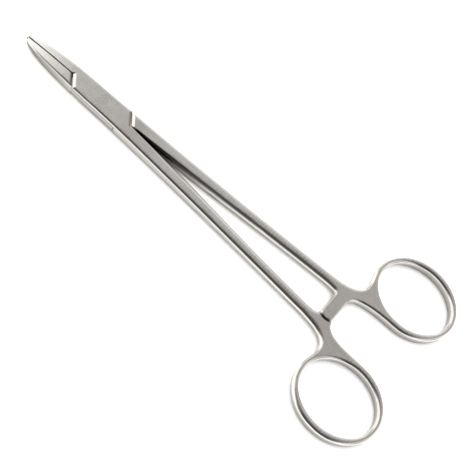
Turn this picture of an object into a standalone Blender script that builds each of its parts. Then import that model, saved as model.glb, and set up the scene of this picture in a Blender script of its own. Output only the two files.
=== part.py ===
"""Surgical needle holder with a box lock, a ratchet and two finger rings.

The instrument lies flat with the ratchet closed. The pivot stands on the origin
along +Z, +X runs to the jaw tips, and all lengths are in metres. Each half is one
forging. A half is drawn in its own frame: its jaw is on the -Y side, its shank and
ring are on the +Y side, and its middle plane is at zero height. The tongue half is
the same forging turned over about X, with a tongue where the other has its box.
"""

import math

import bmesh
import bpy

# Each worked edge is given by its width across the flat and its depth down the side

# Jaws
TIP_REACH = 0.0351
TIP_THICKNESS = 0.0023
TIP_ROUNDING = 0.0024
JAW_ROOT_WIDTH = 0.0040
JAW_CLEARANCE = 0.0003
JAW_EDGE = (0.0006, 0.0005)
GRIP_EDGE = (0.0001, 0.0001)
GRIP_PITCH = 0.0009
GRIP_DEPTH = 0.0002
GRIP_RELIEF = 0.00003
GRIP_SETBACK = 0.0012
JAW_TAPER_POWER = 1.8
JAW_PULL_SHARES = (0.60, 0.87)

# Box lock
BOX_WIDTH = 0.0087
BOX_THICKNESS = 0.0051
BOX_REACH = 0.0136
BOX_EDGE = (0.0012, 0.0005)
STEP_LEAN = 0.0035
STEP_BEVEL = (0.0010, 0.0004)
STEP_CLEARANCE = 0.0003
TONGUE_THICKNESS = 0.0016
TONGUE_CLEARANCE = 0.0001
TONGUE_EDGE = (0.0002, 0.0002)
SLOT_RADIUS = 0.0107
SLOT_CLEARANCE = 0.0002

# Pivot pin
PIN_RADIUS = 0.0018
PIN_FIT = 0.00003
TONGUE_FIT = 0.00006

# Shanks
SHANK_LENGTH = 0.0870
SHANK_THICKNESS = 0.0034
SHANK_EDGE = (0.0018, 0.0010)
SHANK_OUTER_END = 0.0095
SHANK_INNER_END = 0.00565
CROTCH_CLEARANCE = 0.0004
CROTCH_EDGE = (0.0003, 0.0003)
OUTER_POWER = 1.28
INNER_PULL_SHARES = ((0.34, 0.07), (0.57, 0.64))

# Ratchet
BAR_WIDTH = 0.0053
BAR_END = 0.0056
BAR_ROUNDING = 0.0016
BAR_EDGE = (0.0008, 0.0007)
BAR_SETBACK = 0.0048
BAR_FILLET = 0.0030
BAR_CLEARANCE = 0.00055
RACK_TEETH = 4
RACK_PITCH = 0.0016
RACK_DEPTH = 0.0005
RACK_BACK = 0.0002
RACK_RELIEF = 0.00003
RACK_CLEARANCE = 0.00012

# Finger rings
RING_LENGTH = 0.0339
RING_WIDTH = 0.0295
RING_WIRE = (0.0021, 0.0026)
RING_THICKNESS = 0.0044
RING_EDGE_SHARE = 0.46
RING_EDGE_DEPTH = 0.0010
RING_SETBACK = 0.0277
RING_PLACE_Y = 0.0244
NECK_INNER_PULL = 0.0052
NECK_FLANK_PULL = 0.0096
NECK_RING_PULL = 0.0070
NECK_SHANK_PULL = 0.0124
RING_START = math.radians(-90)
RING_FINISH = math.radians(-375)

# Fineness of the curved stretches
EDGE_STEPS = 4
JAW_STEPS = 14
BOX_STEPS = 6
SHANK_STEPS = 16
FILLET_STEPS = 6
NECK_STEPS = 9
BAR_END_STEPS = 10
RING_STEPS = 40
HOLE_STEPS = 48
PIN_STEPS = 48
SLOT_STEPS = 10
CORNER_TRIES = 5
CROTCH_STEPS = 5
JAW_ROWS = 9
SHANK_ROWS = 7
NECK_ROWS = 4

# A cut runs this far past the surface that it opens
OVERRUN = 0.0008

STEEL_COLOUR = (0.56, 0.55, 0.53, 1.0)
PIN_COLOUR = (0.60, 0.59, 0.57, 1.0)

HALF_BOX = BOX_WIDTH / 2
HALF_THICKNESS = BOX_THICKNESS / 2
HALF_BAR = BAR_WIDTH / 2
HALF_GRIP = JAW_CLEARANCE / 2
HALF_CROTCH = CROTCH_CLEARANCE / 2
SHANK_END = -BOX_REACH - SHANK_LENGTH
BAR_PLACE = SHANK_END - BAR_SETBACK - HALF_BAR
RING_PLACE_X = SHANK_END - RING_SETBACK
RING_HALF_LENGTH = RING_LENGTH / 2
RING_HALF_WIDTH = RING_WIDTH / 2
RING_INNER_Y = RING_PLACE_Y - RING_HALF_WIDTH
STEP_SLOPE = STEP_LEAN / HALF_BOX
STEP_SPACING = STEP_CLEARANCE * math.hypot(1, STEP_SLOPE)
GRIP_START = BOX_REACH + GRIP_SETBACK
ROUND, BEVELLED = "round", "bevelled"


def smooth_step(start, end, x):
    """Zero at start and one at end, level at both."""
    share = min(max((x - start) / (end - start), 0), 1)
    return share * share * (3 - 2 * share)


def thickness(x):
    """Thickness of a forging: tapered jaws, slim shanks and fuller rings."""
    if x > BOX_REACH:
        share = min((x - BOX_REACH) / (TIP_REACH - BOX_REACH), 1)
        return BOX_THICKNESS - (BOX_THICKNESS - TIP_THICKNESS) * share**JAW_TAPER_POWER
    if x > -BOX_REACH:
        return BOX_THICKNESS
    share = max((x - SHANK_END) / SHANK_LENGTH, 0)
    shank = SHANK_THICKNESS + (BOX_THICKNESS - SHANK_THICKNESS) * share**2
    return shank + (RING_THICKNESS - SHANK_THICKNESS) * smooth_step(BAR_PLACE, RING_PLACE_X, x)


def outer_width(x):
    """Distance from the centre line to the outer side of the box and the shank."""
    if x > 0:
        return HALF_BOX - (HALF_BOX - JAW_ROOT_WIDTH) * (x / BOX_REACH) ** 2
    return HALF_BOX + (SHANK_OUTER_END - HALF_BOX) * (x / SHANK_END) ** OUTER_POWER


def outer_points(start, end, side, steps):
    """Points along the outer side from start to end, on the +Y or the -Y side."""
    places = [start + (end - start) * step / steps for step in range(steps + 1)]
    return [(x, side * outer_width(x)) for x in places]


def bezier(start, pull, push, end, steps):
    """Points of a cubic curve from start to end, both included."""
    points = []
    for step in range(steps + 1):
        t = step / steps
        s = 1 - t
        weights = (s**3, 3 * s * s * t, 3 * s * t * t, t**3)
        corners = (start, pull, push, end)
        points.append(tuple(sum(w * c[i] for w, c in zip(weights, corners)) for i in (0, 1)))
    return points


def arc(centre, radius_x, radius_y, start, finish, steps):
    """Points of an elliptic arc, both ends included."""
    angles = [start + (finish - start) * step / steps for step in range(steps + 1)]
    return [(centre[0] + radius_x * math.cos(a), centre[1] + radius_y * math.sin(a)) for a in angles]


def stretch(points, first_edge, last_edge, form=ROUND):
    """An outline's points, each with the width, the depth and the form of its edge."""
    last = max(len(points) - 1, 1)
    edged = []
    for i, (x, y) in enumerate(points):
        width, depth = (a + (b - a) * i / last for a, b in zip(first_edge, last_edge))
        edged.append((x, y, width, depth, form))
    return edged


def jaw_stretches():
    """From the jaw's tip along its outer side to the box."""
    pull_share, width_share = JAW_PULL_SHARES
    outer = bezier(
        (TIP_REACH, 0),
        (TIP_REACH, -TIP_ROUNDING),
        (BOX_REACH + (TIP_REACH - BOX_REACH) * pull_share, -JAW_ROOT_WIDTH * width_share),
        (BOX_REACH, -JAW_ROOT_WIDTH),
        JAW_STEPS,
    )
    tip = stretch([(TIP_REACH, OVERRUN)], GRIP_EDGE, GRIP_EDGE)
    return tip + stretch(outer, JAW_EDGE, BOX_EDGE)


def grip_stretches():
    """The jaw's gripping side, left proud of the teeth so that they can be cut."""
    start = GRIP_START + OVERRUN
    points = [(GRIP_START, -HALF_GRIP), (start, -HALF_GRIP), (start, OVERRUN)]
    return stretch(points, GRIP_EDGE, GRIP_EDGE)


def box_rear():
    """Outer side of the box on the jaw's side, and the slanted end of its cheeks."""
    corner = -BOX_REACH + STEP_LEAN
    side = outer_points(BOX_REACH, corner, -1, BOX_STEPS)[1:-1]
    step = [(corner, -outer_width(corner)), (-BOX_REACH - HALF_CROTCH * STEP_SLOPE, HALF_CROTCH)]
    return stretch(side, BOX_EDGE, BOX_EDGE) + stretch(step, STEP_BEVEL, STEP_BEVEL, BEVELLED)


def box_front():
    """Slanted end of the cheeks over the other half's jaw."""
    corner = BOX_REACH - STEP_LEAN
    step = [(corner, outer_width(corner)), (BOX_REACH + HALF_GRIP * STEP_SLOPE, -HALF_GRIP)]
    return stretch(step, STEP_BEVEL, STEP_BEVEL, BEVELLED)


def tongue_corner(side):
    """Round end of the tongue, flush with the box's side, which turns in the slot."""
    radius = SLOT_RADIUS - SLOT_CLEARANCE
    level = math.asin(HALF_GRIP / radius)
    width = HALF_BOX
    for _ in range(CORNER_TRIES):
        corner = math.asin(width / radius)
        width = outer_width(side * radius * math.cos(corner))
    return arc((0, 0), side * radius, side * radius, corner, -level, SLOT_STEPS)


def tongue_rear():
    """Outer side of the tongue on the jaw's side, and its round rear end."""
    end = tongue_corner(-1)
    side = outer_points(BOX_REACH, end[0][0], -1, BOX_STEPS)[1:-1]
    return stretch(side, BOX_EDGE, BOX_EDGE) + stretch(end, TONGUE_EDGE, TONGUE_EDGE)


def tongue_front():
    """Round front end of the tongue."""
    return stretch(tongue_corner(1), TONGUE_EDGE, TONGUE_EDGE)


def inner_stretches():
    """Inner side of the shank, from the crotch to the ratchet bar, and round the bar."""
    rise = SHANK_INNER_END - HALF_CROTCH
    pulls = [
        (-BOX_REACH - SHANK_LENGTH * along, HALF_CROTCH + rise * up)
        for along, up in INNER_PULL_SHARES
    ]
    crotch = (-BOX_REACH - 2 * HALF_CROTCH, HALF_CROTCH)
    shank = bezier(crotch, *pulls, (SHANK_END, SHANK_INNER_END), SHANK_STEPS)
    front = BAR_PLACE + HALF_BAR
    rear = BAR_PLACE - HALF_BAR
    bar_root = SHANK_INNER_END - BAR_FILLET
    corner = (front, SHANK_INNER_END)
    fillet = bezier((SHANK_END, SHANK_INNER_END), corner, corner, (front, bar_root), FILLET_STEPS)
    end_centre = (BAR_PLACE, BAR_ROUNDING - BAR_END)
    end = arc(end_centre, HALF_BAR, BAR_ROUNDING, 0, -math.pi, BAR_END_STEPS)
    neck = bezier(
        (rear, SHANK_INNER_END - BAR_FILLET / 2),
        (rear, SHANK_INNER_END - BAR_FILLET / 2 + NECK_INNER_PULL),
        (RING_PLACE_X + NECK_FLANK_PULL, RING_INNER_Y),
        (RING_PLACE_X, RING_INNER_Y),
        NECK_STEPS,
    )
    return (
        stretch(shank[:CROTCH_STEPS], CROTCH_EDGE, SHANK_EDGE)
        + stretch(shank[CROTCH_STEPS:], SHANK_EDGE, SHANK_EDGE)
        + stretch(fillet[1:], SHANK_EDGE, BAR_EDGE)
        + stretch(end, BAR_EDGE, BAR_EDGE)
        + stretch(neck[:-1], BAR_EDGE, ring_edge(RING_START))
    )


def ring_edge(angle):
    """Width and depth of the ring's round edge, at an angle about its centre."""
    at_ends, at_sides = RING_WIRE
    wire = at_ends * math.cos(angle) ** 2 + at_sides * math.sin(angle) ** 2
    return wire * RING_EDGE_SHARE, RING_EDGE_DEPTH


def round_ring(half_length, half_width, start, finish, steps):
    """Points round the finger ring or its hole, with their edges."""
    centre = (RING_PLACE_X, RING_PLACE_Y)
    points = arc(centre, half_length, half_width, start, finish, steps)
    angles = [start + (finish - start) * step / steps for step in range(steps + 1)]
    return [(*point, *ring_edge(angle), ROUND) for point, angle in zip(points, angles)]


def ring_stretches():
    """Round the outside of the finger ring, and the neck back to the shank."""
    ring = round_ring(RING_HALF_LENGTH, RING_HALF_WIDTH, RING_START, RING_FINISH, RING_STEPS)
    along = (RING_HALF_LENGTH * math.sin(RING_FINISH), -RING_HALF_WIDTH * math.cos(RING_FINISH))
    unit = math.hypot(*along)
    end_slope = OUTER_POWER * (SHANK_OUTER_END - HALF_BOX) / SHANK_END
    neck = bezier(
        ring[-1][:2],
        tuple(ring[-1][i] + NECK_RING_PULL * along[i] / unit for i in (0, 1)),
        (SHANK_END - NECK_SHANK_PULL, SHANK_OUTER_END - NECK_SHANK_PULL * end_slope),
        (SHANK_END, SHANK_OUTER_END),
        NECK_STEPS,
    )
    return ring + stretch(neck[1:-1], ring_edge(RING_FINISH), SHANK_EDGE)


def half_outline(rear, front, front_end):
    """A whole half, clockwise from the jaw's tip, with the given ends of its box."""
    shank = outer_points(SHANK_END, front_end, 1, SHANK_STEPS + BOX_STEPS)[:-1]
    return (
        jaw_stretches()
        + rear
        + inner_stretches()
        + ring_stretches()
        + stretch(shank, SHANK_EDGE, BOX_EDGE)
        + front
        + grip_stretches()
    )


def ring_hole():
    """The finger hole, the other way round, so that steel lies to its right as well."""
    at_ends, at_sides = RING_WIRE
    length = RING_HALF_LENGTH - at_ends
    width = RING_HALF_WIDTH - at_sides
    return round_ring(length, width, 0, 2 * math.pi, HOLE_STEPS)[:-1]


def inset_point(outline, i, inset):
    """An outline's point moved square to the outline into the steel on its right."""
    x, y = outline[i][:2]
    before, after = outline[i - 1], outline[(i + 1) % len(outline)]
    in_x, in_y = x - before[0], y - before[1]
    out_x, out_y = after[0] - x, after[1] - y
    in_length, out_length = math.hypot(in_x, in_y), math.hypot(out_x, out_y)
    side_x = in_y / in_length + out_y / out_length
    side_y = -in_x / in_length - out_x / out_length
    spread = (side_x * side_x + side_y * side_y) / 2
    return x + inset * side_x / spread, y + inset * side_y / spread


def edge_row(bm, outline, step, side):
    """One row of points round a worked edge, on the upper or the lower side."""
    row = []
    share = step / EDGE_STEPS
    turn = share * math.pi / 2
    for i, (_, _, width, depth, form) in enumerate(outline):
        inset = width * (1 - math.sin(turn)) if form == ROUND else width * (1 - share)
        drop = depth * (1 - math.cos(turn)) if form == ROUND else depth * share
        x, y = inset_point(outline, i, inset)
        row.append(bm.verts.new((x, y, side * (thickness(x) / 2 - drop))))
    return row


def closed_edges(bm, row):
    """The edges of a closed row of points, made where they are missing."""
    edges = []
    for first, second in zip(row, row[1:] + row[:1]):
        edges.append(bm.edges.get((first, second)) or bm.edges.new((first, second)))
    return edges


def skin(bm, rows):
    """Faces between rows of as many points, each row closed on itself."""
    for above, below in zip(rows, rows[1:]):
        count = len(above)
        for i in range(count):
            j = (i + 1) % count
            bm.faces.new((above[i], above[j], below[j], below[i]))


def cross_rows():
    """Places along the instrument where the faces of a forging bend."""
    lengths = (
        (BOX_REACH, TIP_REACH, JAW_ROWS),
        (-BOX_REACH, SHANK_END, SHANK_ROWS),
        (BAR_PLACE, RING_PLACE_X, NECK_ROWS),
    )
    return [start + (end - start) * i / rows for start, end, rows in lengths for i in range(rows)]


def bend_flats(bm, flats):
    """Cut the flat faces across at each row, and put each cut at its right height."""
    for face in flats:
        face.material_index = 1
    for x in cross_rows():
        faces = [face for face in bm.faces if face.material_index == 1]
        edges = {edge for face in faces for edge in face.edges}
        verts = {vert for face in faces for vert in face.verts}
        sliced = bmesh.ops.bisect_plane(
            bm, geom=[*verts, *edges, *faces], plane_co=(x, 0, 0), plane_no=(1, 0, 0)
        )
        for vert in (item for item in sliced["geom_cut"] if isinstance(item, bmesh.types.BMVert)):
            vert.co.z = math.copysign(thickness(x) / 2, vert.co.z)
    for face in bm.faces:
        face.material_index = 0


def forging(name, outlines, material):
    """A flat forging with worked edges from its outline and its hole."""
    bm = bmesh.new()
    flats = {1: [], -1: []}
    for outline in outlines:
        upper = [edge_row(bm, outline, step, 1) for step in range(EDGE_STEPS + 1)]
        lower = [edge_row(bm, outline, step, -1) for step in range(EDGE_STEPS, -1, -1)]
        skin(bm, upper + lower)
        flats[1] += closed_edges(bm, upper[0])
        flats[-1] += closed_edges(bm, lower[-1])
    filled = []
    for edges in flats.values():
        made = bmesh.ops.triangle_fill(bm, use_beauty=True, use_dissolve=False, edges=edges)
        filled += [item for item in made["geom"] if isinstance(item, bmesh.types.BMFace)]
    bend_flats(bm, filled)
    return add_object(name, bm, material)


def add_object(name, bm, material=None):
    """An object from the mesh, round where its faces meet gently."""
    bmesh.ops.recalc_face_normals(bm, faces=bm.faces)
    mesh = bpy.data.meshes.new(name)
    bm.to_mesh(mesh)
    bm.free()
    mesh.shade_smooth()
    mesh.set_sharp_from_angle(angle=math.radians(35))
    made = bpy.data.objects.new(name, mesh)
    bpy.context.collection.objects.link(made)
    if material:
        mesh.materials.append(material)
    return made


def loft(name, rows, material=None):
    """A closed solid through rows of as many points, with both ends filled."""
    bm = bmesh.new()
    made = [[bm.verts.new(point) for point in row] for row in rows]
    skin(bm, made)
    bm.faces.new(made[0])
    bm.faces.new(made[-1])
    return add_object(name, bm, material)


def upright(name, outline, bottom, top, material=None):
    """A straight-sided solid that stands on the outline from bottom to top."""
    rows = [[(x, y, z) for x, y in outline] for z in (bottom, top)]
    return loft(name, rows, material)


def cut(target, cutter, turned):
    """Take the cutter out of the target; a turned cutter lies over about X."""
    cutter.hide_render = True
    cutter.display_type = "WIRE"
    cutter.parent = target.parent
    if turned:
        cutter.rotation_euler.x = math.pi
    boolean = target.modifiers.new(cutter.name, "BOOLEAN")
    boolean.operation = "DIFFERENCE"
    boolean.solver = "EXACT"
    boolean.object = cutter


def bore(name, radius):
    """Cutter for the pivot's hole."""
    turn = arc((0, 0), radius, radius, 0, 2 * math.pi, PIN_STEPS)[:-1]
    reach = HALF_THICKNESS + OVERRUN
    return upright(name, turn, -reach, reach)


def box_slot(name):
    """Cutter for the slot of the box: a disc about the pivot, open along both sides."""
    side = HALF_BOX + OVERRUN
    level = math.asin(HALF_GRIP / SLOT_RADIUS)
    corner = math.asin(side / SLOT_RADIUS)
    front = arc((0, 0), SLOT_RADIUS, SLOT_RADIUS, -corner, -level, SLOT_STEPS)
    rear = arc((0, 0), -SLOT_RADIUS, -SLOT_RADIUS, -corner, -level, SLOT_STEPS)
    reach = BOX_REACH + OVERRUN
    outline = front + [(reach, -HALF_GRIP), (reach, side)] + rear + [(-reach, HALF_GRIP), (-reach, -side)]
    half_slot = TONGUE_THICKNESS / 2 + TONGUE_CLEARANCE
    return upright(name, outline, -half_slot, half_slot)


def cheek_pocket(name, side):
    """Cutter for the room of one cheek, flared where the steel round it is bevelled."""
    reach = BOX_REACH + STEP_SPACING
    breadth = SHANK_OUTER_END
    width, depth = STEP_BEVEL
    flare = width * math.hypot(1, STEP_SLOPE)
    bevel_start = HALF_THICKNESS - depth
    above = OVERRUN / depth
    levels = (
        (TONGUE_THICKNESS / 2, 0),
        (bevel_start, 0),
        (HALF_THICKNESS + OVERRUN, flare * (1 + above)),
    )
    rows = []
    for height, spread in levels:
        far, wide = reach + spread, breadth
        corners = ((far, wide), (far, -wide), (-far, -wide), (-far, wide))
        rows.append([(x + y * STEP_SLOPE, y, side * height) for x, y in corners])
    return loft(name, rows)


def grip_teeth(name):
    """Cutter that leaves crossed rows of small pyramids on the gripping side."""
    cell = GRIP_PITCH / 2
    columns = math.ceil((TIP_REACH + OVERRUN - GRIP_START) / cell)
    rows = math.ceil((HALF_THICKNESS + OVERRUN) / cell)
    crest = -HALF_GRIP - GRIP_RELIEF
    bm = bmesh.new()
    grid = {}
    for i in range(columns + 1):
        for j in range(-rows, rows + 1):
            level = crest - GRIP_DEPTH * ((i + j) % 2)
            grid[i, j] = bm.verts.new((GRIP_START + i * cell, level, j * cell))
    for i in range(columns):
        for j in range(-rows, rows):
            corners = [grid[i, j], grid[i + 1, j], grid[i + 1, j + 1], grid[i, j + 1]]
            low = (i + j + 1) % 2
            turned = corners[low:] + corners[:low]
            bm.faces.new((turned[0], turned[1], turned[3]))
            bm.faces.new((turned[1], turned[2], turned[3]))
    rim = [edge for edge in bm.edges if edge.is_boundary]
    drawn = bmesh.ops.extrude_edge_only(bm, edges=rim)["geom"]
    for vert in (item for item in drawn if isinstance(item, bmesh.types.BMVert)):
        vert.co.y = 2 * OVERRUN
    back = [item for item in drawn if isinstance(item, bmesh.types.BMEdge)]
    bmesh.ops.contextual_create(bm, geom=back)
    return add_object(name, bm)


def bar_recess(name):
    """Cutter that halves the ratchet bar and clears the other bar's round end."""
    reach = HALF_BAR + BAR_CLEARANCE
    centre = (BAR_PLACE, BAR_END - BAR_ROUNDING)
    outline = arc(centre, reach, BAR_ROUNDING + BAR_CLEARANCE, 0, math.pi, BAR_END_STEPS)
    low = -BAR_END - OVERRUN
    outline += [(BAR_PLACE - reach, low), (BAR_PLACE + reach, low)]
    return upright(name, outline, -RACK_CLEARANCE / 2, RING_THICKNESS)


def rack(name):
    """Cutter for the ratchet's teeth: long slopes lead when the halves close."""
    crest = -RACK_CLEARANCE / 2 - RACK_RELIEF
    start = -RACK_TEETH * RACK_PITCH / 2
    profile = [(start, 0)]
    for tooth in range(RACK_TEETH):
        near = start + tooth * RACK_PITCH
        profile.append((near, crest - RACK_DEPTH))
        profile.append((near + RACK_PITCH - RACK_BACK, crest))
    profile.append((start + RACK_TEETH * RACK_PITCH, crest - RACK_DEPTH))
    profile.append((start + RACK_TEETH * RACK_PITCH, 0))
    sides = (BAR_PLACE - BAR_WIDTH, BAR_PLACE + BAR_WIDTH)
    return loft(name, [[(x, y, z) for y, z in profile] for x in sides])


def steel(name, colour, roughness):
    """Brushed stainless steel."""
    material = bpy.data.materials.new(name)
    material.use_nodes = True
    shader = material.node_tree.nodes["Principled BSDF"]
    shader.inputs["Base Color"].default_value = colour
    shader.inputs["Metallic"].default_value = 1.0
    shader.inputs["Roughness"].default_value = roughness
    return material


def shared_cuts(half, label, turned):
    """What both halves have: the gripping teeth and half of the ratchet."""
    cut(half, grip_teeth(f"{label}_grip_cutter"), turned)
    cut(half, bar_recess(f"{label}_bar_cutter"), turned)
    cut(half, rack(f"{label}_rack_cutter"), turned)


def box_half(pivot, material):
    """The half with the box: two cheeks that hold the tongue between them."""
    outline = half_outline(box_rear(), box_front(), BOX_REACH - STEP_LEAN)
    half = forging("box_half", [outline, ring_hole()], material)
    half.parent = pivot
    cut(half, box_slot("slot_cutter"), False)
    cut(half, bore("cheek_bore_cutter", PIN_RADIUS + PIN_FIT), False)
    shared_cuts(half, "box", False)


def tongue_half(pivot, material):
    """The half with the tongue, turned over about X to face the other."""
    front = tongue_front()
    outline = half_outline(tongue_rear(), front, front[0][0])
    half = forging("tongue_half", [outline, ring_hole()], material)
    half.parent = pivot
    half.rotation_euler.x = math.pi
    cut(half, cheek_pocket("upper_pocket_cutter", 1), True)
    cut(half, cheek_pocket("lower_pocket_cutter", -1), True)
    cut(half, bore("tongue_bore_cutter", PIN_RADIUS + TONGUE_FIT), True)
    shared_cuts(half, "tongue", True)


def pivot_pin(pivot, material):
    """The rivet, ground flush with both cheeks."""
    turn = arc((0, 0), PIN_RADIUS, PIN_RADIUS, 0, 2 * math.pi, PIN_STEPS)[:-1]
    pin = upright("pivot_pin", turn, -HALF_THICKNESS, HALF_THICKNESS, material)
    pin.parent = pivot


def build():
    """The needle holder on its back, with its pivot on the origin."""
    for thing in list(bpy.data.objects):
        bpy.data.objects.remove(thing)
    pivot = bpy.data.objects.new("pivot", None)
    bpy.context.collection.objects.link(pivot)
    pivot.location.z = HALF_THICKNESS
    satin = steel("satin_steel", STEEL_COLOUR, 0.34)
    box_half(pivot, satin)
    tongue_half(pivot, steel("satin_steel_tongue", STEEL_COLOUR, 0.34))
    pivot_pin(pivot, steel("ground_steel", PIN_COLOUR, 0.28))


build()
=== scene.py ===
import math

import bpy
from mathutils import Matrix, Vector


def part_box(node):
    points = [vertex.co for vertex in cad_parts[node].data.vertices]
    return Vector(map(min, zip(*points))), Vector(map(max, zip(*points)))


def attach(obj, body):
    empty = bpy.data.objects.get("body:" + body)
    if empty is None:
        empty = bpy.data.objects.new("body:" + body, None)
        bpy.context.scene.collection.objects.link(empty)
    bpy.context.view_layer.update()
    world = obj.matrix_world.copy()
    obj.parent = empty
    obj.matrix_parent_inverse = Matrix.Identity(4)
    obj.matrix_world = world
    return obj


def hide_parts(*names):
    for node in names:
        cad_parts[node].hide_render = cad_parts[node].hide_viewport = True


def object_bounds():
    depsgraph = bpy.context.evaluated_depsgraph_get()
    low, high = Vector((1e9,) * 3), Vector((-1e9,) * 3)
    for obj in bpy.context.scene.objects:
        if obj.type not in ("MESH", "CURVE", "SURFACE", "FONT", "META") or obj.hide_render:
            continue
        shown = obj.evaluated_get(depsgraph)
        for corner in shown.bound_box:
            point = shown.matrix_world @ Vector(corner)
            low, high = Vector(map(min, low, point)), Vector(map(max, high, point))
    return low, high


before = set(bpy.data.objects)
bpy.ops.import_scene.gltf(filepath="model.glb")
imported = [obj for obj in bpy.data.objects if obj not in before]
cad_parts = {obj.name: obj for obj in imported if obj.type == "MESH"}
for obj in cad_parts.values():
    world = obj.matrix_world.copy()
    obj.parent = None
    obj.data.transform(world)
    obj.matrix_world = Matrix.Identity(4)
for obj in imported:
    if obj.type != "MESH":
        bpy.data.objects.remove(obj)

cad_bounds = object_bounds()


# Box half.
# One forging of hardened stainless steel: the box with its two cheeks, one jaw, a
# shank, the lower ratchet bar and a finger ring. Its faces are satin ground across
# and its edges buffed round. Shade is painted dark into the grooves between the two halves.
middle_height = (cad_bounds[0][2] + cad_bounds[1][2]) / 2

# The level direction across the slanted steps, and the level part of their ramps' normal.
across_step = Vector((0.7785, 0.6277, 0.0))
ramp_normal = Vector((0.289, 0.233, 0.0))
ramp_tolerance = 0.01

# How upright a flat's normal stands, and how little it tilts sideways.
flat_upright = 0.99
flat_tilt = 0.03

# The teeth start here in front of the pivot, and lie this near to the middle line.
grip_start = 0.0145
grip_reach = 0.0009
grip_upright = 0.9

merge_distance = 0.000001
same_plane = math.radians(0.1)
smooth_angle = math.radians(40)
flat_weight = 60


def on_flat(face):
    """Whether a face lies on the ground top or underside."""
    return abs(face.normal.z) > flat_upright and abs(face.normal.y) < flat_tilt


def on_ramp(face, side):
    """Whether a face is a ground ramp beside a step, facing the tips (1) or the rings (-1)."""
    return (
        abs(side * face.normal.x - ramp_normal.x) < ramp_tolerance
        and abs(side * face.normal.y - ramp_normal.y) < ramp_tolerance
    )


def in_grip(face):
    """Whether a face belongs to the cross-cut teeth between the jaws."""
    return (
        face.center.x > grip_start
        and abs(face.center.y) < grip_reach
        and abs(face.normal.z) < grip_upright
    )


def select_faces(piece, wanted):
    """Selects the faces that pass a test, and no others, for the edit that follows."""
    bpy.ops.object.mode_set(mode="EDIT")
    bpy.ops.mesh.select_all(action="DESELECT")
    bpy.ops.object.mode_set(mode="OBJECT")
    for face in piece.data.polygons:
        face.select = wanted(face)
    bpy.ops.object.mode_set(mode="EDIT")


def paint_shade_on_ramps_and_grip(piece):
    """Paints shade on the ramps that face the rings: their feet and the teeth get the dark
    painted-shade steel, their tops the half-dark painted-shade steel.
    """
    painted_dark_shade_slot, painted_half_shade_slot = 1, 2
    reach = [
        piece.data.vertices[index].co.dot(across_step)
        for face in piece.data.polygons
        if on_ramp(face, -1)
        for index in face.vertices
    ]
    middle = (min(reach) + max(reach)) / 2
    select_faces(piece, lambda face: on_ramp(face, -1))
    bpy.ops.mesh.bisect(plane_co=across_step * middle, plane_no=across_step)
    bpy.ops.object.mode_set(mode="OBJECT")
    for face in piece.data.polygons:
        if in_grip(face):
            face.material_index = painted_dark_shade_slot
        elif on_ramp(face, -1) and face.center.dot(across_step) < middle:
            face.material_index = painted_dark_shade_slot
        elif on_ramp(face, -1):
            face.material_index = painted_half_shade_slot


def worked_copy(node, name, satin):
    """A copy of a solid, merged into one closed skin, with its faces finished as worked and painted
    shade on its ramps and teeth.
    """
    bpy.ops.object.select_all(action="DESELECT")
    piece = bpy.data.objects.new(name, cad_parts[node].data.copy())
    bpy.context.scene.collection.objects.link(piece)
    piece.data.name = name
    piece.data.materials.clear()
    for material in (satin, dark_shade_painted_steel, half_shade_painted_steel):
        piece.data.materials.append(material)
    bpy.context.view_layer.objects.active = piece
    piece.select_set(True)
    bpy.ops.mesh.customdata_custom_splitnormals_clear()
    bpy.ops.object.mode_set(mode="EDIT")
    bpy.ops.mesh.select_all(action="SELECT")
    bpy.ops.mesh.remove_doubles(threshold=merge_distance)
    bpy.ops.mesh.dissolve_limited(angle_limit=same_plane)
    bpy.ops.object.mode_set(mode="OBJECT")

    select_faces(piece, on_flat)
    bpy.ops.mesh.mod_weighted_strength(set=True, face_strength="STRONG")
    bpy.ops.object.mode_set(mode="OBJECT")
    select_faces(piece, lambda face: on_ramp(face, 1) or on_ramp(face, -1))
    bpy.ops.mesh.region_to_loop()
    bpy.ops.mesh.mark_sharp()
    bpy.ops.object.mode_set(mode="OBJECT")
    paint_shade_on_ramps_and_grip(piece)

    bpy.ops.object.shade_smooth_by_angle(angle=smooth_angle)
    weigh = piece.modifiers.new("even_faces", "WEIGHTED_NORMAL")
    weigh.keep_sharp = True
    weigh.weight = flat_weight
    weigh.use_face_influence = True
    bpy.ops.object.modifier_apply(modifier=weigh.name)
    return piece


def feed(tree, socket, value):
    """Sets a socket to a value, or links it to the socket that the value comes from."""
    if isinstance(value, bpy.types.NodeSocket):
        tree.links.new(value, socket)
    else:
        socket.default_value = value


def joined(tree, operation, first, second=0.0):
    """One value from two, such as their product or the larger of them."""
    step = tree.nodes.new("ShaderNodeMath")
    step.operation = operation
    feed(tree, step.inputs[0], first)
    feed(tree, step.inputs[1], second)
    return step.outputs["Value"]


def spread(tree, source, reach, results):
    """A value that goes evenly from one result to the other over a reach of the source."""
    span = tree.nodes.new("ShaderNodeMapRange")
    feed(tree, span.inputs["Value"], source)
    feed(tree, span.inputs["From Min"], reach[0])
    feed(tree, span.inputs["From Max"], reach[1])
    feed(tree, span.inputs["To Min"], results[0])
    feed(tree, span.inputs["To Max"], results[1])
    return span.outputs["Result"]


def graded(tree, source, steps):
    """A value that follows steps of (place, share) along a source."""
    low, high = steps[0][0], steps[-1][0]
    ramp = tree.nodes.new("ShaderNodeValToRGB")
    elements = ramp.color_ramp.elements
    while len(elements) < len(steps):
        elements.new(0.5)
    for element, (place, share) in zip(elements, steps):
        element.position = (place - low) / (high - low)
        element.color = (share, share, share, 1.0)
    feed(tree, ramp.inputs["Fac"], spread(tree, source, (low, high), (0.0, 1.0)))
    return ramp.outputs["Color"]


def mixed(tree, blend, share, first, second):
    """One colour from two, with a share of the second."""
    mix = tree.nodes.new("ShaderNodeMix")
    mix.data_type = "RGBA"
    mix.blend_type = blend
    feed(tree, mix.inputs["Factor"], share)
    feed(tree, mix.inputs["A"], first)
    feed(tree, mix.inputs["B"], second)
    return mix.outputs["Result"]


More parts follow.
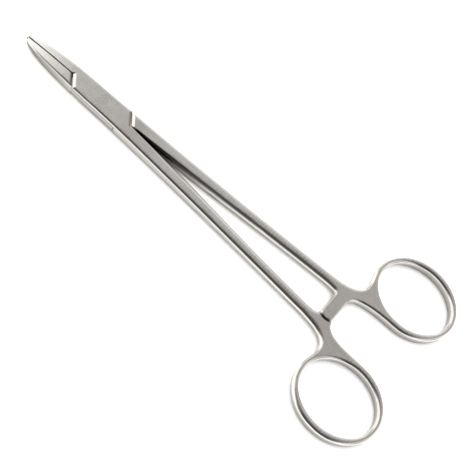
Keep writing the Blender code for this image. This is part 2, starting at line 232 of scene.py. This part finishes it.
def patches(tree, place, scale, detail):
    """Uneven patches over a place, from 0 to 1."""
    noise = tree.nodes.new("ShaderNodeTexNoise")
    feed(tree, noise.inputs["Vector"], place)
    feed(tree, noise.inputs["Scale"], scale)
    noise.inputs["Detail"].default_value = detail
    return noise.outputs["Fac"]


# Shares of painted shade along the height of a face's normal, for undersides and for walls.
painted_underside_shade_shares = ((-1.0, 0.0), (-0.9, 0.0), (-0.7, 1.0), (-0.1, 1.0), (0.0, 0.35), (0.14, 0.0))
painted_wall_shade_height_shares = ((-0.2, 0.0), (-0.1, 1.0), (0.1, 1.0), (0.2, 0.0))

# Shares along the instrument, in metres from the pivot towards the tips: painted shade on the walls,
# painted highlight on the flats, and painted dark shade in the fork, round the bar ends and in the
# seams.
painted_wall_shade_length_shares = ((-0.122, 0.28), (-0.112, 0.0), (0.010, 0.0), (0.020, 0.25), (0.034, 0.6))
painted_highlight_shares = (
    (-0.090, 0.0), (-0.065, 0.55), (-0.030, 0.6), (-0.016, 0.0),
    (0.018, 0.0), (0.026, 0.3), (0.033, 1.0),
)
fork_length_shares = ((-0.052, 0.0), (-0.030, 0.9), (-0.0165, 1.0), (-0.0152, 0.0))
bar_length_shares = ((-0.1112, 0.0), (-0.1106, 0.65), (-0.1058, 0.65), (-0.1052, 0.0))
seam_length_shares = ((-0.0102, 0.0), (-0.0100, 1.0), (0.0100, 1.0), (0.0102, 0.0))

# Shares sideways from the middle line, and up or down from the middle height, in metres.
fork_width_shares = ((0.0024, 1.0), (0.0036, 0.0))
bar_width_shares = ((0.0046, 0.0), (0.0052, 1.0), (0.0064, 1.0), (0.0068, 0.0))
seam_height_shares = ((0.0007, 0.0), (0.0008, 1.0), (0.0010, 1.0), (0.0011, 0.0))

# The painted highlight's colour, the tint for painted shade and the streaks' darker tone, and the
# colour of the painted dark shade in the gaps.
painted_highlight_steel = (0.86, 0.845, 0.825, 1.0)
shade_and_streak_tint = (0.2, 0.19, 0.18, 1.0)
painted_gap_shade_colour = (0.05, 0.045, 0.04, 1.0)
streak_reach = (0.35, 0.65)
streak_dulling_shares = (0.07, 0.0)
flat_reach = (0.9, 0.99)
line_stretch = (1.0, 0.04, 0.3)
line_detail = 2.0
cloud_scale = 260.0
cloud_detail = 3.0
half_share = 0.5


def satin_grain_and_painted_light():
    """Grinding lines across the flats, buffed edges and the steel's uneven tone, with painted light:
    highlights on the flats, shade on walls and undersides, dark shade in the fork, round the bar ends
    and in the seams.
    """
    group = bpy.data.node_groups.new("satin_grain_and_painted_light", "ShaderNodeTree")
    for name, direction, kind in (
        ("Steel", "INPUT", "NodeSocketColor"),
        ("Lines per metre", "INPUT", "NodeSocketFloat"),
        ("Lean", "INPUT", "NodeSocketFloat"),
        ("Lowest roughness", "INPUT", "NodeSocketFloat"),
        ("Highest roughness", "INPUT", "NodeSocketFloat"),
        ("Edge roughness", "INPUT", "NodeSocketFloat"),
        ("Colour", "OUTPUT", "NodeSocketColor"),
        ("Height", "OUTPUT", "NodeSocketFloat"),
        ("Roughness", "OUTPUT", "NodeSocketFloat"),
    ):
        group.interface.new_socket(name, in_out=direction, socket_type=kind)
    given = group.nodes.new("NodeGroupInput").outputs
    result = group.nodes.new("NodeGroupOutput").inputs
    place = group.nodes.new("ShaderNodeTexCoord").outputs
    where = group.nodes.new("ShaderNodeSeparateXYZ")
    facing = group.nodes.new("ShaderNodeSeparateXYZ")
    feed(group, where.inputs["Vector"], place["Object"])
    feed(group, facing.inputs["Vector"], place["Normal"])
    along = where.outputs["X"]
    aside = joined(group, "ABSOLUTE", where.outputs["Y"])
    off_middle = joined(group, "SUBTRACT", where.outputs["Z"], middle_height)
    off_middle = joined(group, "ABSOLUTE", off_middle)

    turn = group.nodes.new("ShaderNodeVectorRotate")
    turn.rotation_type = "Z_AXIS"
    feed(group, turn.inputs["Vector"], place["Object"])
    feed(group, turn.inputs["Angle"], given["Lean"])
    stretch = group.nodes.new("ShaderNodeVectorMath")
    stretch.operation = "MULTIPLY"
    feed(group, stretch.inputs[0], turn.outputs["Vector"])
    feed(group, stretch.inputs[1], line_stretch)
    lines = patches(group, stretch.outputs["Vector"], given["Lines per metre"], line_detail)
    cloud = patches(group, place["Object"], cloud_scale, cloud_detail)
    streaks = joined(
        group,
        "ADD",
        joined(group, "MULTIPLY", lines, half_share),
        joined(group, "MULTIPLY", cloud, half_share),
    )

    upright = joined(group, "ABSOLUTE", facing.outputs["Z"])
    flat = spread(group, upright, flat_reach, (0.0, 1.0))
    off_flat = joined(group, "SUBTRACT", 1.0, flat)
    satin_results = (given["Lowest roughness"], given["Highest roughness"])
    satin = spread(group, streaks, streak_reach, satin_results)
    roughness = spread(group, flat, (0.0, 1.0), (given["Edge roughness"], satin))

    # Painted highlight: the flats are lightened in stretches along the jaws and shanks.
    painted_highlight = joined(group, "MULTIPLY", flat, graded(group, along, painted_highlight_shares))
    colour = mixed(group, "MIX", painted_highlight, given["Steel"], painted_highlight_steel)
    # Painted shade on walls and undersides, stronger on the walls near the rings and the jaw tips,
    # plus the streaks' darker tone.
    painted_wall_shade = joined(
        group,
        "MULTIPLY",
        graded(group, facing.outputs["Z"], painted_wall_shade_height_shares),
        graded(group, along, painted_wall_shade_length_shares),
    )
    painted_shade_and_streak_tone = joined(group, "ADD", graded(group, facing.outputs["Z"], painted_underside_shade_shares), painted_wall_shade)
    painted_shade_and_streak_tone = joined(group, "ADD", painted_shade_and_streak_tone, spread(group, streaks, streak_reach, streak_dulling_shares))
    colour = mixed(group, "MULTIPLY", painted_shade_and_streak_tone, colour, shade_and_streak_tint)

    # Painted dark shade in the fork between the shanks, round the ratchet bars' ends and in the seams
    # beside the tongue, off the flats.
    fork, bar_end, seam = (
        joined(group, "MULTIPLY", graded(group, along, length), graded(group, measure, across))
        for length, measure, across in (
            (fork_length_shares, aside, fork_width_shares),
            (bar_length_shares, aside, bar_width_shares),
            (seam_length_shares, off_middle, seam_height_shares),
        )
    )
    dark = joined(group, "MAXIMUM", joined(group, "MAXIMUM", fork, bar_end), seam)
    dark = joined(group, "MULTIPLY", dark, off_flat)
    feed(group, result["Colour"], mixed(group, "MIX", dark, colour, painted_gap_shade_colour))
    feed(group, result["Height"], lines)
    feed(group, result["Roughness"], roughness)
    return group


grain_and_painted_light = satin_grain_and_painted_light()
lines_per_metre = 5200.0
line_strength = 0.35
line_depth = 0.00001


def steel(name, colour, lean, roughness, edge_roughness):
    """Stainless steel with its own grinding lines, which lean by an angle off straight across."""
    material = bpy.data.materials.new(name)
    material.use_nodes = True
    tree = material.node_tree
    shader = tree.nodes["Principled BSDF"].inputs
    shader["Metallic"].default_value = 1.0
    # The finish group also paints highlights and shade into the base colour.
    finish = tree.nodes.new("ShaderNodeGroup")
    finish.node_tree = grain_and_painted_light
    finish.inputs["Steel"].default_value = colour
    finish.inputs["Lines per metre"].default_value = lines_per_metre
    finish.inputs["Lean"].default_value = lean
    finish.inputs["Lowest roughness"].default_value = roughness[0]
    finish.inputs["Highest roughness"].default_value = roughness[1]
    finish.inputs["Edge roughness"].default_value = edge_roughness
    bump = tree.nodes.new("ShaderNodeBump")
    bump.inputs["Strength"].default_value = line_strength
    bump.inputs["Distance"].default_value = line_depth
    feed(tree, bump.inputs["Height"], finish.outputs["Height"])
    feed(tree, shader["Base Color"], finish.outputs["Colour"])
    feed(tree, shader["Normal"], bump.outputs["Normal"])
    feed(tree, shader["Roughness"], finish.outputs["Roughness"])
    return material


satin_colour = (0.71, 0.682, 0.655, 1.0)
satin_roughness = (0.24, 0.34)
buffed_roughness = 0.14
box_lean = 0.10
# Dark and half-dark copies of the steel paint shade on the ramps that face the rings and on the teeth.
dark_shade_painted_steel = steel(
    "steel_with_painted_dark_shade",
    colour=(0.10, 0.094, 0.088, 1.0),
    lean=box_lean,
    roughness=(0.30, 0.40),
    edge_roughness=0.35,
)
half_shade_painted_steel = steel(
    "steel_with_painted_half_shade",
    colour=(0.40, 0.385, 0.37, 1.0),
    lean=box_lean,
    roughness=(0.28, 0.38),
    edge_roughness=0.3,
)
box_satin = steel("box_half_satin", satin_colour, box_lean, satin_roughness, buffed_roughness)
box_half = worked_copy("box_half", "box_half_steel", box_satin)
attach(box_half, "box_body")
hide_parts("box_half")


# Tongue half.
# The other forging, turned over: a thin tongue that turns between the cheeks, the
# other jaw, a shank, the upper ratchet bar and the second finger ring. The same
# steel and grinding as the box half.
tongue_lean = 0.06
tongue_satin = steel(
    "tongue_half_satin", satin_colour, tongue_lean, satin_roughness, buffed_roughness
)
tongue_half = worked_copy("tongue_half", "tongue_half_steel", tongue_satin)
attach(tongue_half, "tongue_body")
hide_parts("tongue_half")


# Pivot pin.
# A steel rivet through both cheeks and the tongue. Its ends are ground flush with
# the cheeks, so only a hairline shows where it sits.
pin_radius = 0.0018
pin_sides = 64
pin_low, pin_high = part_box("pivot_pin")
bpy.ops.object.select_all(action="DESELECT")
bpy.ops.mesh.primitive_cylinder_add(
    vertices=pin_sides,
    radius=pin_radius,
    depth=pin_high.z - pin_low.z,
    location=(0, 0, (pin_high.z + pin_low.z) / 2),
)
pin = bpy.context.object
pin.name = "pivot_pin_steel"
bpy.ops.object.transform_apply(location=True, rotation=True, scale=True)
bpy.ops.object.shade_smooth_by_angle(angle=smooth_angle)
pin_steel = steel(
    "pivot_pin_ground",
    colour=(0.70, 0.672, 0.646, 1.0),
    lean=box_lean,
    roughness=(0.24, 0.32),
    edge_roughness=0.2,
)
pin.data.materials.append(pin_steel)
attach(pin, "box_body")
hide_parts("pivot_pin")


# Floor.
# A plain white table top, painted matt, that the instrument lies on. It sits a hair
# below the steel, so that the two faces don't coincide.
table_size = 6.0
table_gap = 0.00002
bpy.ops.object.select_all(action="DESELECT")
bpy.ops.mesh.primitive_plane_add(size=table_size, location=(0, 0, -table_gap))
table = bpy.context.object
table.name = "table_top"
paint = bpy.data.materials.new("table_white")
paint.use_nodes = True
paint_coat = paint.node_tree.nodes["Principled BSDF"].inputs
paint_coat["Base Color"].default_value = (0.9, 0.9, 0.89, 1)
paint_coat["Roughness"].default_value = 0.8
paint_coat["Specular IOR Level"].default_value = 0.2
table.data.materials.append(paint)


# Light.
# A studio tent: white panels behind and at both ends, a grey roof over the flats and
# a dark opening on the near side, which gives the edges their dark bands. A wide soft
# lamp overhead whitens the table and leaves the steel to mirror the tent.
world = bpy.data.worlds.new("studio")
bpy.context.scene.world = world
world.use_nodes = True
tent = world.node_tree
look = tent.nodes.new("ShaderNodeTexCoord")
split = tent.nodes.new("ShaderNodeSeparateXYZ")
feed(tent, split.inputs["Vector"], look.outputs["Generated"])
tent_x, tent_y = split.outputs["X"], split.outputs["Y"]

# Brightness along the tent's depth, from the far side to the near side, and along its
# diagonal.
roof_levels = (
    (-1.0, 1.0), (-0.8, 0.95), (-0.62, 0.68), (-0.53, 0.49), (-0.4, 0.47), (-0.2, 0.34),
    (0.0, 0.13), (0.5, 0.08), (0.9, 0.11), (0.97, 0.75), (1.0, 1.0),
)
corner_levels = ((-2.0, 0.2), (-1.3, 0.2), (-1.0, 1.0), (2.0, 1.0))

# Where the white panels hang: shares along the tent's length and along its depth.
end_length_shares = (
    (-1.0, 0.6), (-0.6, 0.5), (-0.4, 0.0), (0.28, 0.0), (0.36, 0.38), (0.49, 1.0),
    (0.53, 1.0), (0.6, 0.1), (1.0, 0.1),
)
end_depth_shares = ((-1.0, 1.0), (-0.46, 1.0), (-0.3, 1.4), (-0.1, 0.9), (0.1, 0.25), (1.0, 0.25))
side_length_shares = (
    (-1.0, 0.22), (-0.9, 0.3), (-0.75, 0.8), (-0.48, 0.0), (0.52, 0.0), (0.64, 1.0), (1.0, 1.0),
)
side_depth_shares = ((-1.0, 0.0), (-0.5, 0.0), (-0.35, 1.0), (1.0, 1.0))
panel_brightness = 1.55

roof = joined(
    tent,
    "MULTIPLY",
    graded(tent, tent_y, roof_levels),
    graded(tent, joined(tent, "ADD", tent_x, tent_y), corner_levels),
)
end_panels = joined(
    tent,
    "MULTIPLY",
    graded(tent, tent_x, end_length_shares),
    graded(tent, tent_y, end_depth_shares),
)
side_panels = joined(
    tent,
    "MULTIPLY",
    graded(tent, tent_x, side_length_shares),
    graded(tent, tent_y, side_depth_shares),
)
panels = joined(tent, "MAXIMUM", end_panels, side_panels)
backdrop = tent.nodes["Background"].inputs
backdrop["Color"].default_value = (1.0, 0.99, 0.975, 1)
feed(tent, backdrop["Strength"], spread(tent, panels, (0.0, 1.0), (roof, panel_brightness)))
bpy.context.scene.view_settings.view_transform = "Standard"

lamp_data = bpy.data.lights.new("overhead_softbox", "SUN")
lamp_data.energy = 4.1
lamp_data.angle = math.radians(80)
lamp = bpy.data.objects.new("overhead_softbox", lamp_data)
bpy.context.scene.collection.objects.link(lamp)
towards_lamp = Vector((0.0, -0.1, 0.99))
lamp.rotation_euler = towards_lamp.to_track_quat("Z", "Y").to_euler()
lamp.visible_glossy = False


# Camera.
# From above the lower ring's side, at the photograph's angle. The jaws point to the
# upper left of the picture.
view_out = Vector((-0.04716, 0.46256, 0.0))
view_out.z = math.sqrt(1 - view_out.length_squared)
aim = Vector((-0.067269, 0.003891, 0.00255))
distance = 0.33965
focal_pixels = 981.77
picture_pixels = 474
half_pixel_share = 0.5 / picture_pixels
film_width = 36.0
roll = -0.0075
jaw_line = Vector((0.74251536, 0.66982904))
side_line = Vector((-0.66982904, 0.74251536))

level = Vector((-1, 0, 0))
level = (level - level.dot(view_out) * view_out).normalized()
upright = level.cross(view_out)
along = math.cos(roll) * level - math.sin(roll) * upright
down = math.sin(roll) * level + math.cos(roll) * upright
right = along * jaw_line.x + down * side_line.x
up = -(along * jaw_line.y + down * side_line.y)
place = aim + distance * view_out
camera_data = bpy.data.cameras.new("camera")
camera_data.sensor_fit = "HORIZONTAL"
camera_data.sensor_width = film_width
camera_data.lens = focal_pixels / picture_pixels * film_width
camera_data.shift_x = -half_pixel_share
camera_data.shift_y = half_pixel_share
camera_data.clip_start = 0.01
camera = bpy.data.objects.new("camera", camera_data)
bpy.context.scene.collection.objects.link(camera)
camera.matrix_world = Matrix(
    (
        (right.x, up.x, view_out.x, place.x),
        (right.y, up.y, view_out.y, place.y),
        (right.z, up.z, view_out.z, place.z),
        (0, 0, 0, 1),
    )
)
bpy.context.scene.camera = camera
